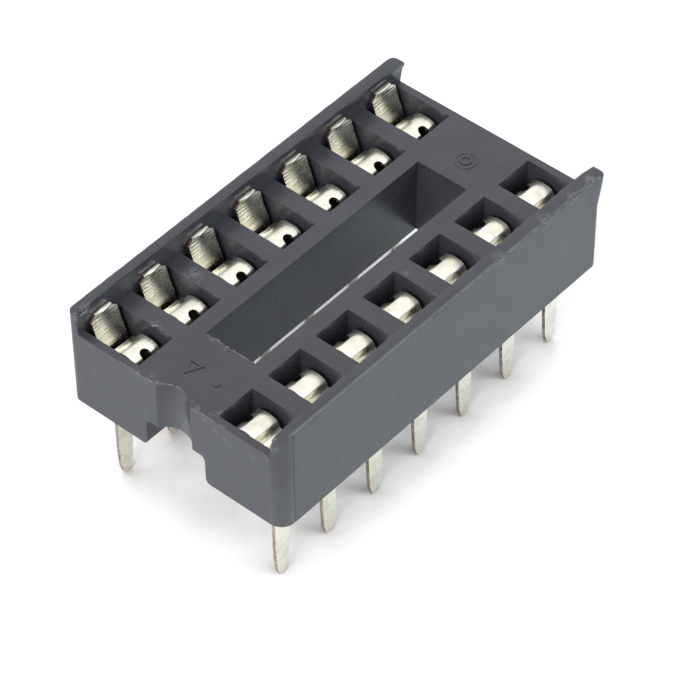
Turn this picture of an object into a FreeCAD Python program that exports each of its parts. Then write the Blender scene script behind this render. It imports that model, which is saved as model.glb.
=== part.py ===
"""A 14-way socket for a dual in-line chip: one moulded housing and fourteen stamped dual-leaf contacts.

Frame: X along the socket, away from the end with the index notch, Y across it, Z up.
The origin is under the middle of the socket, in the plane of the pin tips. Millimetres.
"""

import FreeCAD
import Part
import Sketcher

import math
import os

from FreeCAD import Vector

PINS_PER_ROW = 7
TOUCH = 0.001

SIZES = {
    # Standard grid
    "pin_pitch": 2.54,
    "row_span": 7.62,
    # Housing
    "end_wall": 0.31,
    "corner_radius": 0.3,
    "key_radius": 0.62,
    "seat_height": 4.0,
    "deck_rise": 3.5,
    "wall_rise": 1.0,
    "wall_thickness": 0.5,
    "floor_thickness": 0.6,
    "rib_width": 0.8,
    "leaf_clearance": 0.01,
    "lip_clearance": 0.385,
    "slot_clearance": 0.03,
    "end_deck": 2.97,
    "window_width": 2.34,
    "arch_width": 2.8,
    "arch_height": 1.3,
    "arch_depth": 1.6,
    "arch_radius": 0.25,
    "notch_radius": 1.0,
    "notch_depth": 0.42,
    "rim_bevel": 0.09,
    # Contact strip
    "sheet": 0.15,
    "leaf_width": 1.3,
    "tip_width": 0.86,
    "tip_length": 0.24,
    "tip_slope": 0.14,
    "dome_width": 1.2,
    "lip_notch_width": 0.42,
    "lip_notch_depth": 0.37,
    "ear_clearance": 0.02,
    "ear_height": 0.45,
    # Pin
    "pin_width": 0.72,
    "pin_waist": 0.6,
    "pin_taper": 1.6,
    "pin_nose": 0.5,
    "pin_point_width": 0.4,
    "pin_point": 0.14,
    # Outer leaf, from the pin's line and the pocket floor
    "plate_rise": 0.3,
    "heel_reach": 0.08,
    "heel_rise": 0.8,
    "belly_reach": 0.17,
    "belly_rise": 1.6,
    "throat_reach": 0.26,
    "throat_rise": 2.15,
    "shoulder_reach": 0.6,
    "shoulder_rise": 3.1,
    "tip_reach": 0.655,
    "tip_rise": 3.4,
    # Inner leaf, from the pin's line and the pocket floor
    "foot_reach": 0.62,
    "bend_radius": 0.25,
    "nose_reach": 0.2,
    "nose_rise": 1.84,
    "ledge_start_reach": 0.25,
    "ledge_start_rise": 2.03,
    "ledge_end_reach": 0.46,
    "ledge_end_rise": 2.15,
    "step_reach": 0.525,
    "step_rise": 2.27,
    "brow_reach": 0.615,
    "brow_rise": 2.385,
    "curl_reach": 1.34,
    "curl_rise": 2.38,
    "lip_reach": 1.47,
    "lip_rise": 2.18,
}


class Size:
    """A length that knows its formula, so that a feature can be bound to the sheet."""

    def __init__(self, text, value):
        self.text = text
        self.value = value

    def __add__(self, other):
        other = as_size(other)
        return Size(f"({self.text} + {other.text})", self.value + other.value)

    def __sub__(self, other):
        other = as_size(other)
        return Size(f"({self.text} - {other.text})", self.value - other.value)

    def __mul__(self, factor):
        return Size(f"({self.text} * {factor})", self.value * factor)

    def __truediv__(self, divisor):
        return Size(f"({self.text} / {divisor})", self.value / divisor)

    def __neg__(self):
        return Size(f"(-{self.text})", -self.value)


def as_size(value):
    return value if isinstance(value, Size) else Size(f"{value} mm", value)


def size(name):
    return Size(f"sizes.{name} * 1 mm", SIZES[name])


ZERO = Size("0 mm", 0.0)


def make_sheet(doc):
    """Writes every driving dimension into the sheet, one named cell each."""
    sheet = doc.addObject("Spreadsheet::Sheet", "sizes")
    for row, (name, value) in enumerate(SIZES.items(), start=1):
        sheet.set(f"A{row}", name)
        sheet.set(f"B{row}", str(value))
        sheet.setAlias(f"B{row}", name)
    doc.recompute()


def new_body(doc, label):
    body = doc.addObject("PartDesign::Body", label)
    body.Label = label
    return body


def origin_feature(body, role):
    return next(item for item in body.Origin.OriginFeatures if item.Role == role)


def new_sketch(body, name, plane, offset=ZERO):
    """A sketch on one of the body's own planes, moved along the plane's normal by the offset."""
    sketch = body.newObject("Sketcher::SketchObject", name)
    sketch.AttachmentSupport = [(origin_feature(body, plane), "")]
    sketch.MapMode = "FlatFace"
    sketch.AttachmentOffset = FreeCAD.Placement(Vector(0, 0, offset.value), FreeCAD.Rotation())
    sketch.setExpression("AttachmentOffset.Base.z", offset.text)
    return sketch


def place(sketch, geometry, point, x, y):
    """Ties one point of a sketch to the sheet, measured from the sketch's origin."""
    tie(sketch, "DistanceX", geometry, point, x)
    tie(sketch, "DistanceY", geometry, point, y)


def tie(sketch, kind, geometry, point, length):
    """Ties one coordinate of a point to the sheet."""
    if length.value == 0:
        axis = -2 if kind == "DistanceX" else -1
        sketch.addConstraint(Sketcher.Constraint("PointOnObject", geometry, point, axis))
        return
    ends = (-1, 1, geometry, point)
    if length.value < 0:
        length = -length
        ends = (geometry, point, -1, 1)
    index = sketch.addConstraint(Sketcher.Constraint(kind, *ends, length.value))
    sketch.setExpression(f"Constraints[{index}]", length.text)


def add_polygon(sketch, corners):
    """A closed outline through corners given as pairs of sizes."""
    points = [Vector(x.value, y.value, 0) for x, y in corners]
    first = sketch.GeometryCount
    for start, end in zip(points, points[1:] + points[:1]):
        sketch.addGeometry(Part.LineSegment(start, end), False)
    count = len(points)
    for index in range(count):
        following = first + (index + 1) % count
        sketch.addConstraint(Sketcher.Constraint("Coincident", first + index, 2, following, 1))
    for index, (x, y) in enumerate(corners):
        place(sketch, first + index, 1, x, y)


def add_rectangle(sketch, left, right, bottom, top):
    add_polygon(sketch, [(left, bottom), (right, bottom), (right, top), (left, top)])


def add_circle(sketch, x, y, radius):
    circle = Part.Circle(Vector(x.value, y.value, 0), Vector(0, 0, 1), radius.value)
    index = sketch.addGeometry(circle, False)
    constraint = sketch.addConstraint(Sketcher.Constraint("Radius", index, radius.value))
    sketch.setExpression(f"Constraints[{constraint}]", radius.text)
    place(sketch, index, 3, x, y)


def arc_between(start, end, heading):
    """The arc that leaves the start in the given heading and reaches the end, and its new heading."""
    chord = end - start
    turn = math.atan2(chord.y, chord.x) - heading
    turn = math.atan2(math.sin(turn), math.cos(turn))
    radius = chord.Length / (2 * math.sin(abs(turn)))
    side = math.copysign(1, turn)
    normal = Vector(-math.sin(heading), math.cos(heading), 0) * side
    centre = start + normal * radius
    first, last = (start, end) if side > 0 else (end, start)
    angles = [math.atan2(point.y - centre.y, point.x - centre.x) for point in (first, last)]
    arc = Part.ArcOfCircle(Part.Circle(centre, Vector(0, 0, 1), radius), *angles)
    return arc, side > 0, heading + 2 * turn


def add_pieces(sketch, points, guide=False):
    """A straight start and arcs that each leave the last piece without a kink, with their end points."""
    line = sketch.addGeometry(Part.LineSegment(points[0], points[1]), guide)
    heading = math.atan2(points[1].y - points[0].y, points[1].x - points[0].x)
    pieces = [(line, 2)]
    for start, end in zip(points[1:], points[2:]):
        arc, forward, heading = arc_between(start, end, heading)
        index = sketch.addGeometry(arc, guide)
        near, far = (1, 2) if forward else (2, 1)
        sketch.addConstraint(Sketcher.Constraint("Tangent", *pieces[-1], index, near))
        pieces.append((index, far))
    return pieces


def add_run(sketch, nodes, guide=False):
    """A run of tangent pieces with every node tied to the sheet."""
    pieces = add_pieces(sketch, [point_of(node) for node in nodes], guide)
    place(sketch, pieces[0][0], 1, *nodes[0])
    for (index, far), node in zip(pieces, nodes[1:]):
        place(sketch, index, far, *node)
    return pieces


def side_points(points, distance):
    """Points beside a run of tangent pieces, each at the distance to the left of the run."""
    heading = math.atan2(points[1].y - points[0].y, points[1].x - points[0].x)
    beside = []
    for index, point in enumerate(points):
        if index > 1:
            heading = arc_between(points[index - 1], point, heading)[2]
        beside.append(point + Vector(-math.sin(heading), math.cos(heading), 0) * distance)
    return beside


def add_sheet_outline(sketch, nodes):
    """The section of the bent sheet: a guide through its middle and both faces half a sheet away."""
    half = size("sheet") / 2
    middle = add_run(sketch, nodes, True)
    faces = []
    for side in (1, -1):
        beside = side_points([point_of(node) for node in nodes], half.value * side)
        face = add_pieces(sketch, beside)
        start = face[0][0]
        sketch.addConstraint(Sketcher.Constraint("Parallel", start, middle[0][0]))
        gap = sketch.addConstraint(Sketcher.Constraint("Distance", start, 1, middle[0][0], half.value))
        sketch.setExpression(f"Constraints[{gap}]", half.text)
        for (index, _), (guide, _) in zip(face[1:], middle[1:]):
            sketch.addConstraint(Sketcher.Constraint("Coincident", index, 3, guide, 3))
        faces.append(face)
    (left, _), (right, _) = faces[0][0], faces[1][0]
    head = add_cap(sketch, (left, 1), (right, 1), (middle[0][0], 1))
    sketch.addConstraint(Sketcher.Constraint("Perpendicular", head, middle[0][0]))
    tail = add_cap(sketch, faces[0][-1], faces[1][-1], middle[-1])
    sketch.addConstraint(Sketcher.Constraint("PointOnObject", middle[-1][0], 3, tail))


def add_cap(sketch, left, right, middle):
    """The cut edge of the sheet at one end, through the end of the guide."""
    cap = sketch.addGeometry(Part.LineSegment(sketch.getPoint(*left), sketch.getPoint(*right)), False)
    sketch.addConstraint(Sketcher.Constraint("Coincident", cap, 1, *left))
    sketch.addConstraint(Sketcher.Constraint("Coincident", cap, 2, *right))
    sketch.addConstraint(Sketcher.Constraint("PointOnObject", *middle, cap))
    return cap


def add_feature(body, kind, name, profile, **lengths):
    """A pad or pocket of the profile whose lengths are bound to the sheet."""
    feature = body.newObject(f"PartDesign::{kind}", name)
    feature.Profile = profile
    for prop, length in lengths.items():
        feature.setExpression(prop, length.text)
    return feature


def cut_through(body, name, profile):
    """A pocket through everything on both sides of its sketch."""
    feature = body.newObject("PartDesign::Pocket", name)
    feature.Profile = profile
    feature.Type = "ThroughAll"
    feature.SideType = "Symmetric"
    return feature


def repeat_along_row(body, original):
    """Repeats a feature at every contact of a row."""
    pattern = body.newObject("PartDesign::LinearPattern", f"{original.Name}_row")
    pattern.Originals = [original]
    pattern.Direction = (origin_feature(body, "X_Axis"), [""])
    pattern.Occurrences = PINS_PER_ROW
    pattern.setExpression("Length", (size("pin_pitch") * (PINS_PER_ROW - 1)).text)
    body.Tip = pattern
    return pattern


def mirror_over(body, original, plane):
    mirror = body.newObject("PartDesign::Mirrored", f"{original.Name}_mirror")
    mirror.Originals = [original]
    mirror.MirrorPlane = (origin_feature(body, plane), [""])
    body.Tip = mirror
    return mirror


def add_rounded_outline(sketch, half_length, half_width, radius, key_radius):
    """The plan of the housing: straight sides joined by rounds, with a wider one beside pin one."""
    inner_x, inner_y = half_length - radius, half_width - radius
    key_x, key_y = half_length - key_radius, half_width - key_radius
    sides = [
        ((-key_x, -half_width), (inner_x, -half_width)),
        ((half_length, -inner_y), (half_length, inner_y)),
        ((inner_x, half_width), (-inner_x, half_width)),
        ((-half_length, inner_y), (-half_length, -key_y)),
    ]
    rounds = [(inner_x, -inner_y), (inner_x, inner_y), (-inner_x, inner_y), (-key_x, -key_y)]
    for start, end in sides:
        sketch.addGeometry(Part.LineSegment(point_of(start), point_of(end)), False)
    for index, centre in enumerate(rounds):
        start = math.radians(90 * index - 90)
        reach = key_radius if index == 3 else radius
        circle = Part.Circle(point_of(centre), Vector(0, 0, 1), reach.value)
        sketch.addGeometry(Part.ArcOfCircle(circle, start, start + math.pi / 2), False)
    for index in range(4):
        sketch.addConstraint(Sketcher.Constraint("Tangent", index, 2, 4 + index, 1))
        sketch.addConstraint(Sketcher.Constraint("Tangent", 4 + index, 2, (index + 1) % 4, 1))
    for index, (start, end) in enumerate(sides):
        place(sketch, index, 1, *start)
        along = index % 2
        tie(sketch, ("DistanceX", "DistanceY")[along], index, 2, end[along])


def pad_housing_block(body):
    plan = new_sketch(body, "plan", "XY_Plane", size("seat_height"))
    radii = size("corner_radius"), size("key_radius")
    add_rounded_outline(plan, body_half_length(), body_half_width(), *radii)
    add_feature(body, "Pad", "block", plan, Length=size("deck_rise") + size("wall_rise"))


def cut_deck(body):
    """Lowers the deck between the two long walls, right out through both ends."""
    trough = new_sketch(body, "trough_plan", "XY_Plane", top_height())
    half_gap = chamber_outer()
    half_length = body_half_length() + size("corner_radius")
    add_rectangle(trough, -half_length, half_length, -half_gap, half_gap)
    add_feature(body, "Pocket", "trough", trough, Length=size("wall_rise"))


def top_height():
    return deck_height() + size("wall_rise")


def deck_height():
    return size("seat_height") + size("deck_rise")


def floor_height():
    return size("seat_height") + size("floor_thickness")


def first_contact():
    return -size("pin_pitch") * ((PINS_PER_ROW - 1) / 2)


def pocket_half_length():
    return (size("pin_pitch") - size("rib_width")) / 2


def chamber_outer():
    """From the middle to the long wall, which the tall leaf leans on."""
    return size("row_span") / 2 + size("tip_reach") + size("sheet") / 2 + size("leaf_clearance")


def chamber_inner():
    """From the middle to the chamber's inner wall, with room for the lip to spring back."""
    return size("row_span") / 2 - size("lip_reach") - size("sheet") / 2 - size("lip_clearance")


def body_half_width():
    return chamber_outer() + size("wall_thickness")


def body_half_length():
    return pocket_half_length() + size("end_wall") - first_contact()


def cut_contact_pockets(body):
    """The fourteen open chambers, each with a floor for its contact to stand on."""
    plan = new_sketch(body, "pocket_plan", "XY_Plane", deck_height())
    half = pocket_half_length()
    left, right = first_contact() - half, first_contact() + half
    inner, outer = chamber_inner(), chamber_outer()
    add_rectangle(plan, left, right, inner, outer)
    add_rectangle(plan, left, right, -outer, -inner)
    depth = size("deck_rise") - size("floor_thickness")
    pocket = add_feature(body, "Pocket", "pocket", plan, Length=depth)
    repeat_along_row(body, pocket)


def cut_pin_slots(body):
    """The slot in each chamber's floor that holds the pin upright."""
    plan = new_sketch(body, "slot_plan", "XY_Plane", floor_height())
    half = size("pin_width") / 2 + size("slot_clearance")
    left, right = first_contact() - half, first_contact() + half
    line = size("row_span") / 2
    reach = size("sheet") / 2 + size("slot_clearance")
    add_rectangle(plan, left, right, line - reach, line + reach)
    add_rectangle(plan, left, right, -line - reach, -line + reach)
    slot = add_feature(body, "Pocket", "slot", plan, Length=size("floor_thickness") * 1.5)
    repeat_along_row(body, slot)


def cut_window(body):
    plan = new_sketch(body, "window_plan", "XY_Plane", deck_height())
    half_length, half_width = body_half_length() - size("end_deck"), size("window_width") / 2
    add_rectangle(plan, -half_length, half_length, -half_width, half_width)
    cut_through(body, "window", plan)


def cut_end_arches(body):
    """The recess under each end that leaves a foot on either side."""
    outline = new_sketch(body, "arch_outline", "YZ_Plane", -body_half_length())
    half, radius = size("arch_width") / 2, size("arch_radius")
    bottom, top = size("seat_height"), size("seat_height") + size("arch_height")
    add_arch(outline, half, bottom, top, radius)
    arch = add_feature(body, "Pocket", "arch", outline, Length=size("arch_depth"))
    arch.Reversed = True
    mirror_over(body, arch, "YZ_Plane")


def add_arch(sketch, half, bottom, top, radius):
    """A doorway outline with rounded upper corners."""
    corners = [(half, bottom), (half, top - radius), (half - radius, top)]
    corners += [(-x, y) for x, y in reversed(corners)]
    points = [Vector(x.value, y.value, 0) for x, y in corners]
    for start, end in ((0, 1), (2, 3), (4, 5), (5, 0)):
        sketch.addGeometry(Part.LineSegment(points[start], points[end]), False)
    for side, start in ((1, 0.0), (-1, math.pi / 2)):
        centre = Vector(side * (half - radius).value, (top - radius).value, 0)
        circle = Part.Circle(centre, Vector(0, 0, 1), radius.value)
        sketch.addGeometry(Part.ArcOfCircle(circle, start, start + math.pi / 2), False)
    for first, first_end, second, second_end in ((0, 2, 4, 1), (4, 2, 1, 1), (1, 2, 5, 1), (5, 2, 2, 1)):
        sketch.addConstraint(Sketcher.Constraint("Tangent", first, first_end, second, second_end))
    for first, second in ((2, 3), (3, 0)):
        sketch.addConstraint(Sketcher.Constraint("Coincident", first, 2, second, 1))
    for geometry, point, corner in ((0, 1, 0), (0, 2, 1), (1, 1, 2), (2, 2, 5)):
        place(sketch, geometry, point, *corners[corner])


def cut_index_notch(body):
    """The half-round groove down the near end, which marks the end with pin one."""
    plan = new_sketch(body, "notch_plan", "XY_Plane", deck_height())
    centre = -(body_half_length() + size("notch_radius") - size("notch_depth"))
    add_circle(plan, centre, ZERO, size("notch_radius"))
    cut_through(body, "notch", plan)


def make_housing(doc):
    body = new_body(doc, "housing")
    pad_housing_block(body)
    cut_deck(body)
    cut_contact_pockets(body)
    cut_pin_slots(body)
    cut_window(body)
    cut_end_arches(body)
    cut_index_notch(body)
    bevel_rims(doc, body)
    return body


def bevel_rims(doc, body):
    """Breaks the outer top edge of each long wall."""
    doc.recompute()
    top, side = top_height().value, body_half_width().value
    names = []
    for index, edge in enumerate(body.Shape.Edges, start=1):
        box = edge.BoundBox
        at_top = abs(box.ZMin - top) < TOUCH and abs(box.ZMax - top) < TOUCH
        at_side = abs(max(abs(box.YMin), abs(box.YMax)) - side) < TOUCH
        if at_top and at_side:
            names.append(f"Edge{index}")
    base = body.Tip
    rims = body.newObject("PartDesign::Chamfer", "rims")
    rims.Base = (base, names)
    rims.setExpression("Size", size("rim_bevel").text)
    body.Tip = rims


def add_pin(body):
    """The flat pin, which narrows below its upper part and ends in a rounded nose."""
    outline = new_sketch(body, "pin_outline", "XZ_Plane")
    half, waist = size("pin_width") / 2, size("pin_waist") / 2
    top = floor_height() + size("plate_rise") / 2
    upper = [(half, top), (half, size("pin_taper")), (waist, size("pin_nose"))]
    nose = [(size("pin_point_width") / 2, size("pin_point")), (ZERO, ZERO)]
    right = upper + nose
    left = [(-x, y) for x, y in right]
    first, second = [add_pin_side(outline, side) for side in (right, left)]
    closing = outline.addGeometry(Part.LineSegment(point_of(right[0]), point_of(left[0])), False)
    outline.addConstraint(Sketcher.Constraint("Coincident", closing, 1, first, 1))
    outline.addConstraint(Sketcher.Constraint("Coincident", closing, 2, second, 1))
    pin = add_feature(body, "Pad", "pin", outline, Length=size("sheet"))
    pin.SideType = "Symmetric"


def point_of(node):
    return Vector(node[0].value, node[1].value, 0)


def add_pin_side(sketch, nodes):
    """One edge of the pin from its top down to the point."""
    upper = sketch.addGeometry(Part.LineSegment(point_of(nodes[0]), point_of(nodes[1])), False)
    place(sketch, upper, 1, *nodes[0])
    lower = add_run(sketch, nodes[1:])
    sketch.addConstraint(Sketcher.Constraint("Coincident", upper, 2, lower[0][0], 1))
    return upper


def add_leaf(body, name, width, nodes):
    """A strip of the sheet bent along a run of nodes in the contact's middle plane."""
    section = new_sketch(body, f"{name}_section", "YZ_Plane")
    add_sheet_outline(section, nodes)
    leaf = add_feature(body, "Pad", name, section, Length=width)
    leaf.SideType = "Symmetric"


def add_outer_leaf(body):
    """The tall leaf that leans out to the long wall."""
    base = floor_height()
    nodes = [(ZERO, base), (ZERO, base + size("plate_rise"))]
    for name in ("heel", "belly", "throat", "shoulder", "tip"):
        nodes.append((size(f"{name}_reach"), base + size(f"{name}_rise")))
    add_leaf(body, "outer_leaf", size("leaf_width"), nodes)


def add_inner_leaf(body):
    """The leaf that doubles back from the foot, meets the chip's leg and rolls over into a dome."""
    base = floor_height()
    foot = base + size("sheet") / 2
    nodes = [(ZERO, foot), (-size("foot_reach"), foot)]
    nodes.append((-size("foot_reach") - size("bend_radius"), foot + size("bend_radius")))
    for name in ("nose", "ledge_start", "ledge_end", "step", "brow", "curl", "lip"):
        nodes.append((-size(f"{name}_reach"), base + size(f"{name}_rise")))
    add_leaf(body, "inner_leaf", size("dome_width"), nodes)


def add_ears(body):
    """The wide foot of the plate, which fits between the ribs of its chamber."""
    outline = new_sketch(body, "ear_outline", "XZ_Plane")
    half = pocket_half_length() - size("ear_clearance")
    add_rectangle(outline, -half, half, floor_height(), floor_height() + size("ear_height"))
    ears = add_feature(body, "Pad", "ears", outline, Length=size("sheet"))
    ears.SideType = "Symmetric"


def trim_tip(body):
    """Slopes the outer leaf in on both sides below its narrow tip."""
    outline = new_sketch(body, "tip_outline", "XZ_Plane")
    inner, edge, outer = size("tip_width") / 2, size("leaf_width") / 2, size("leaf_width")
    bottom = floor_height() + size("tip_rise") - size("tip_length")
    top = floor_height() + size("tip_rise") + size("sheet")
    right = [(inner, bottom + size("tip_slope")), (edge, bottom), (outer, bottom), (outer, top), (inner, top)]
    add_polygon(outline, right)
    add_polygon(outline, [(-x, y) for x, y in reversed(right)])
    cut_through(body, "tip_steps", outline)


def notch_lip(body):
    """The round-ended notch that splits the dome's lip into two prongs."""
    height = floor_height() + size("lip_rise") - size("sheet") * 2
    plan = new_sketch(body, "lip_plan", "XY_Plane", height)
    half = size("lip_notch_width") / 2
    outer = -(size("lip_reach") + size("sheet"))
    inner = -(size("lip_reach") + size("sheet") / 2 - size("lip_notch_depth")) - half
    corners = [(-half, inner), (-half, outer), (half, outer), (half, inner)]
    for start, end in zip(corners, corners[1:]):
        plan.addGeometry(Part.LineSegment(point_of(start), point_of(end)), False)
    circle = Part.Circle(Vector(0, inner.value, 0), Vector(0, 0, 1), half.value)
    plan.addGeometry(Part.ArcOfCircle(circle, 0, math.pi), False)
    for first, second in ((0, 1), (1, 2)):
        plan.addConstraint(Sketcher.Constraint("Coincident", first, 2, second, 1))
    plan.addConstraint(Sketcher.Constraint("Tangent", 2, 2, 3, 1))
    plan.addConstraint(Sketcher.Constraint("Coincident", 3, 2, 0, 1))
    for geometry in (0, 1, 2):
        place(plan, geometry, 1, *corners[geometry])
    place(plan, 2, 2, *corners[3])
    notch = add_feature(body, "Pocket", "lip_notch", plan, Length=size("sheet") * 6)
    notch.Reversed = True


def make_contact(doc, number, x, side):
    """One contact, stood in its chamber with its tall leaf towards the long wall."""
    body = new_body(doc, f"contact_{number:02d}")
    add_pin(body)
    add_outer_leaf(body)
    add_ears(body)
    add_inner_leaf(body)
    trim_tip(body)
    notch_lip(body)
    row = size("row_span") / 2 * side
    turn = FreeCAD.Rotation(Vector(0, 0, 1), 0 if side > 0 else 180)
    body.Placement = FreeCAD.Placement(Vector(x.value, row.value, 0), turn)
    body.setExpression("Placement.Base.x", x.text)
    body.setExpression("Placement.Base.y", row.text)
    return body


def make_contacts(doc):
    """Both rows, counted as on the chip: out along the front row and back along the other."""
    contacts = []
    for number in range(1, 2 * PINS_PER_ROW + 1):
        in_front = number <= PINS_PER_ROW
        place_in_row = number - 1 if in_front else 2 * PINS_PER_ROW - number
        x = first_contact() + size("pin_pitch") * place_in_row
        contacts.append(make_contact(doc, number, x, -1 if in_front else 1))
    return contacts


def check(doc, bodies):
    """Stops before anything is written if a feature has failed or a solid is not sound."""
    for item in doc.Objects:
        if {"Invalid", "Error"} & set(item.State):
            raise RuntimeError(f"{item.Label}: {item.State}")
    for body in bodies:
        shape = body.Shape
        if shape.isNull() or not shape.isValid() or len(shape.Solids) != 1:
            raise RuntimeError(f"{body.Label} is not one sound solid")
        print(f"{body.Label}: {shape.Volume:.4f} mm3")


def main():
    doc = FreeCAD.newDocument("ic_socket")
    make_sheet(doc)
    bodies = [make_housing(doc)] + make_contacts(doc)
    doc.recompute()
    check(doc, bodies)
    os.makedirs("parts", exist_ok=True)
    for body in bodies:
        body.Shape.exportStep(f"parts/{body.Label}.step")


main()
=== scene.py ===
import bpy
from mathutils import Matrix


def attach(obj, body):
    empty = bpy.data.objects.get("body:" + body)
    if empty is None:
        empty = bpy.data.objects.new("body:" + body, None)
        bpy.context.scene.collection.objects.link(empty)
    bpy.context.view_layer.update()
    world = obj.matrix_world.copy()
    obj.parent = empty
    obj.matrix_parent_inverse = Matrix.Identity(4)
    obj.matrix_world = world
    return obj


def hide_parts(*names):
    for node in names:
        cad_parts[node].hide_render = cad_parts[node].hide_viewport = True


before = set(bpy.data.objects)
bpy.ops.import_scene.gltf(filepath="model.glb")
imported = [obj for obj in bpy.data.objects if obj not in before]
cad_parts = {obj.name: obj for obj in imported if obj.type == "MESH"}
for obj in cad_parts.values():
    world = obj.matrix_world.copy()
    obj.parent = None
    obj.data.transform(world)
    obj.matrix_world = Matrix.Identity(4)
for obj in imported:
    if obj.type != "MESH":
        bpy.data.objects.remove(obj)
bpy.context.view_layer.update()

import math

import bmesh
import bpy
from mathutils import Matrix, Vector, noise

bl_info = {
    "name": "Chip socket, fourteen contacts",
    "version": (1, 0, 0),
    "blender": (4, 5, 0),
    "location": "View3D > Sidebar > Socket",
    "description": "Builds the looks of a moulded chip socket with stamped dual-leaf contacts",
    "category": "Object",
}

MM = 0.001
PINS_PER_ROW = 7
CONTACTS = 2 * PINS_PER_ROW
BEND_STEP = math.radians(6)
SHARP = math.radians(30)
# Places and sizes of the body. Lengths are in millimetres where nothing else is said
BODY_HALF_LENGTH = 8.8
NEAR_END = -BODY_HALF_LENGTH
SEAT_HEIGHT = 4.0
DECK_HEIGHT = 7.5
ARCH_HALF_WIDTH = 1.4
WINDOW_HALF_LENGTH = 5.83
WINDOW_HALF_WIDTH = 1.17
WINDOW_DRAFT = 0.1
NOTCH_CENTRE = -9.38
NOTCH_RADIUS = 1.0
# The long walls from the middle out: before the inner face, that face, between the faces, before the outer
WALL_START = 4.4
WALL_FACE = 4.55
WALL_MIDDLE = 4.7
WALL_OUTSIDE = 4.9
# What lies beyond this is the outer face of the front wall
FRONT_OUTSIDE = -5.0
# How far off a point may lie and still count as on a line or face
NEAR = 0.01
# Edges of the moulding that are rounder than the rest: fixed coordinates, radius, and how many there are
ROUNDER_EDGES = (
    ((NEAR_END, WALL_FACE, None), 0.16, 1),
    ((None, ARCH_HALF_WIDTH, SEAT_HEIGHT), 0.22, 2),
    ((None, -ARCH_HALF_WIDTH, SEAT_HEIGHT), 0.22, 2),
)
# Shorter edges than this are left sharp there
SHORTEST_ROUNDED = 0.5
# Rims of the long walls: where their waver starts and is full, and the columns of points that carry it
RIM_LOW = 8.05
RIM_HIGH = 8.3
COLUMNS_FROM = 7.75
SIDE_LINES = (7.0, COLUMNS_FROM, RIM_LOW, RIM_HIGH)
WAVER_STEP = 0.25
WAVER_FIRST = -8.0
WAVER_LAST = 8.3
# Wavers of a rim: height, turns of the noise per millimetre along X and Y, and the layer it is read from
WAVERS = ((0.035, 1.3, 0.4, 3.0), (0.025, 4.1, 1.0, 8.0))
# Share of the waver that an outer face takes
OUTER_WAVER = 0.5
# How much thicker a wall is at the middle of its length, and what each millimetre towards the far end adds
THICKER = 0.02
THICKER_PER_MM = 0.009
# Far horns by side: heights where the flare starts and is full, and its lean along X and outwards
HORNS = {-1: (6.5, 8.5, 0.22, 0.1), 1: (7.45, 8.1, 0.12, 0.0)}
# Where the flare starts across the wall and along it, and the cuts that let it bend there
HORN_LINE = 4.35
HORN_LINE_FROM = 8.4
HORN_START = 7.9
HORN_COLUMNS = (HORN_START, 8.2, 8.5)
# A crease in the front wall by the near corner: its place, half its width and its depth
CREASE_X = -8.18
CREASE_HALF = 0.03
CREASE_DEPTH = 0.045


def linear(text):
    """An sRGB hex colour as linear red, green, blue and alpha."""
    parts = [int(text[place:place + 2], 16) / 255 for place in (1, 3, 5)]
    return [part / 12.92 if part <= 0.04045 else ((part + 0.055) / 1.055) ** 2.4 for part in parts] + [1.0]


def length_property(name, description, default):
    """A length kept in metres, whose default is given in millimetres."""
    return bpy.props.FloatProperty(
        name=name, description=description, default=default * MM, min=0.0, precision=6,
        unit="LENGTH", subtype="DISTANCE",
    )


def colour_property(name, description, default):
    """A colour whose default is given as sRGB hex."""
    return bpy.props.FloatVectorProperty(
        name=name, description=description, default=linear(default), size=4, min=0.0, max=1.0,
        subtype="COLOR",
    )


class SocketSizes(bpy.types.PropertyGroup):
    """Sizes of the socket that the looks need."""

    pin_pitch: length_property("Pin pitch", "Distance between neighbouring contacts of a row", 2.54)
    row_span: length_property("Row span", "Distance between the two rows of pins", 7.62)
    floor_height: length_property("Chamber floor", "Height of the chamber floor over the pin tips", 4.6)
    deck_height: length_property("Deck", "Height of the deck over the pin tips", DECK_HEIGHT)
    sheet: length_property("Strip thickness", "Thickness of the contact strip", 0.15)
    cut_edge: length_property("Cut edge", "Rounding along the cut edges of the strip", 0.012)
    mould_edge: length_property("Moulded edge", "Rounding along the edges of the moulding", 0.035)
    mark_height: length_property("Mark height", "How far a moulded mark stands off the deck", 0.05)


class SocketColours(bpy.types.PropertyGroup):
    """Colours of the socket, of the paper under it and of what stands round it."""

    moulding: colour_property("Moulding", "Charcoal of the moulded body", "#3e3d45")
    moulding_light: colour_property("Moulding, clouded", "Body where the filler shows", "#46484e")
    scuff: colour_property("Scuff", "Scraped and whitened moulding", "#9a9ba0")
    tin: colour_property("Tin plate", "Bright tin on the strip", "#f0ecde")
    stain: colour_property("Stained tin", "Tin that has tarnished a little", "#b4b49c")
    bronze: colour_property("Cut bronze", "Bare bronze where the strip was cut", "#7c5240")
    floor: colour_property("Floor", "Paper under the socket", "#e4e2e0")
    floor_glow: colour_property("Floor's lift", "What lifts the paper for the camera", "#ffffff")
    mirrored_glow: colour_property("Mirrored lift", "What lifts the paper in a reflection", "#e8f6ff")
    sky: colour_property("Surroundings", "White tent round the socket", "#f8fafc")


def add_node(tree, kind, sockets=(), **settings):
    """Adds a node, sets its properties, and fills or links its inputs."""
    made = tree.nodes.new(kind)
    for name, value in settings.items():
        setattr(made, name, value)
    for key, value in dict(sockets).items():
        if isinstance(value, bpy.types.NodeSocket):
            tree.links.new(value, made.inputs[key])
        else:
            made.inputs[key].default_value = value
    return made


# Sockets of a colour Mix node that go by number, because the node repeats their names
MIX_SHARE, MIX_FIRST, MIX_SECOND, MIX_RESULT = 0, 6, 7, 2
PLASTIC_IOR = 1.55


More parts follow.
